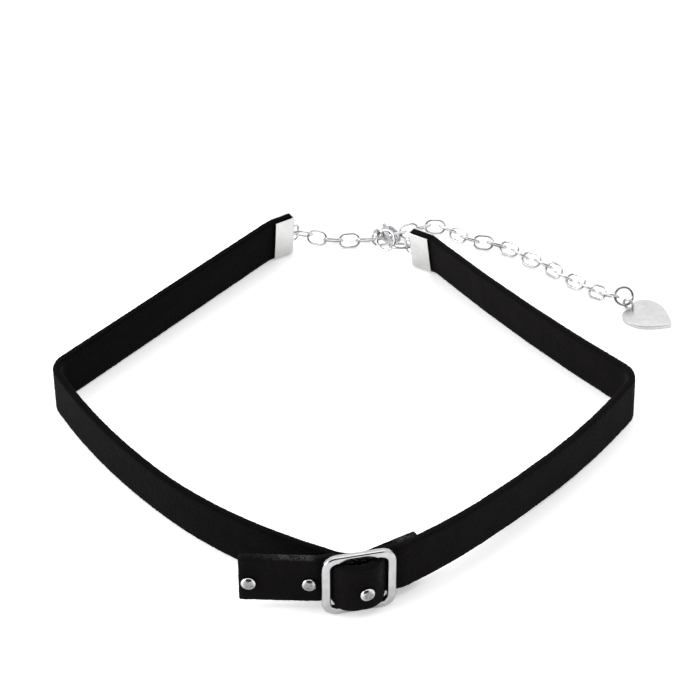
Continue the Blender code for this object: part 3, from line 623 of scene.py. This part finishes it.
def buildHeart():
    s = heartSizes
    points = [(a * s["length"], c * s["width"] / 2) for a, c in heartHalf]
    points += [(x, -y) for x, y in reversed(points[1:-1])]
    outline = bpy.data.curves.new("heartOutline", "CURVE")
    outline.dimensions = "2D"
    outline.fill_mode = "BOTH"
    outline.resolution_u = 8
    outline.extrude = (s["thickness"] / 2 - s["edge"]) * mm
    outline.bevel_depth = s["edge"] * mm
    outline.bevel_resolution = 3
    outline.offset = -s["edge"] * mm
    spline = outline.splines.new("BEZIER")
    spline.bezier_points.add(len(points) - 1)
    for knot, (x, y) in zip(spline.bezier_points, points):
        knot.co = Vector((x, y, 0)) * mm
        knot.handle_left_type = knot.handle_right_type = "AUTO"
    for corner in (0, len(heartHalf) - 1):
        spline.bezier_points[corner].handle_left_type = "VECTOR"
        spline.bezier_points[corner].handle_right_type = "VECTOR"
    spline.use_cyclic_u = True
    heart = bpy.data.objects.new("heartTag", outline)
    bpy.context.scene.collection.objects.link(heart)
    pickOnly(heart)
    bpy.ops.object.convert(target="MESH")
    heart = bpy.context.object
    heart.data.transform(Matrix.Translation(Vector((0, 0, s["thickness"] / 2)) * mm))
    openMesh(heart)
    closeMesh(heart, 40)
    ear = modelRing("ear", s["ear"], s["ear"], s["wire"], 40, 14)
    notch = heartHalf[0][0] * s["length"]
    ear.data.transform(Matrix.Translation(Vector((notch - s["earOut"], 0, s["ear"] / 2)) * mm)
                       @ Matrix.Rotation(math.radians(90), 4, "X"))
    joinPieces(heart, [ear])
    putInPlace(heart, placeFrom(s["x"], s["y"], 0, 0, 0, s["heading"]))
    pickOnly(heart)
    bpy.ops.object.shade_smooth_by_angle(angle=math.radians(40))
    finishPiece(heart, tagZinc, "necklace", "heart_tag")


buildHeart()
for model in (linkModel, rivetModel):
    bpy.data.objects.remove(model, do_unlink=True)
print("heart ready")


# Floor and light

studio = {"floorMm": 1600, "paper": "#FAFAFA", "glow": 0.35, "world": 1.38,
          "overhead": {"energy": 1.4, "size": 0.7, "location": (0.05, 0.10, 0.75)},
          "left": {"energy": 3.0, "size": 0.35, "location": (-0.60, -0.20, 0.25)},
          "dark": "#383838", "darkHeight": 40, "darkFrom": 0.69, "darkTo": 0.87}


def addSoftbox(name, energy, size, location):
    # Faces the middle of the table
    lamp = bpy.data.objects.new(name, bpy.data.lights.new(name, "AREA"))
    bpy.context.scene.collection.objects.link(lamp)
    lamp.data.energy = energy
    lamp.data.size = size
    lamp.location = location
    lamp.rotation_euler = (-Vector(location)).to_track_quat("-Z", "Y").to_euler()


def buildStudio():
    clearSelection()
    bpy.ops.mesh.primitive_plane_add(size=studio["floorMm"] * mm)
    floor = bpy.context.object
    floor.name = "floor"
    # Translucent white table lit from below, so shadows on it stay faint
    opal = startMaterial("opalAcrylic", {
        "Roughness": 0.9, "Base Color": colourOf(studio["paper"]),
        "Emission Color": colourOf(studio["paper"]), "Emission Strength": studio["glow"],
    })[0]
    floor.data.materials.append(opal)
    world = bpy.data.worlds.new("studio")
    bpy.context.scene.world = world
    world.use_nodes = True
    sky = world.node_tree
    # White all round, with a dark patch in front, where the room behind the camera is
    outward = addNode(sky, "ShaderNodeTexCoord").outputs["Generated"]
    height = math.radians(studio["darkHeight"])
    front = (0, -math.cos(height), math.sin(height))
    nearness = addNode(sky, "ShaderNodeVectorMath", {1: front}, {0: outward}, operation="DOT_PRODUCT")
    share = addNode(sky, "ShaderNodeMapRange",
                    {"From Min": studio["darkFrom"], "From Max": studio["darkTo"]},
                    {"Value": nearness.outputs["Value"]}).outputs["Result"]
    tone = addNode(sky, "ShaderNodeMix", {6: colourOf("#FFFFFF"), 7: colourOf(studio["dark"])}, {0: share},
                   data_type="RGBA").outputs[2]
    sky.links.new(tone, sky.nodes["Background"].inputs["Color"])
    sky.nodes["Background"].inputs["Strength"].default_value = studio["world"]
    for name in ("overhead", "left"):
        addSoftbox(name, **studio[name])
    bpy.context.scene.view_settings.view_transform = "Standard"


buildStudio()
print("studio ready")
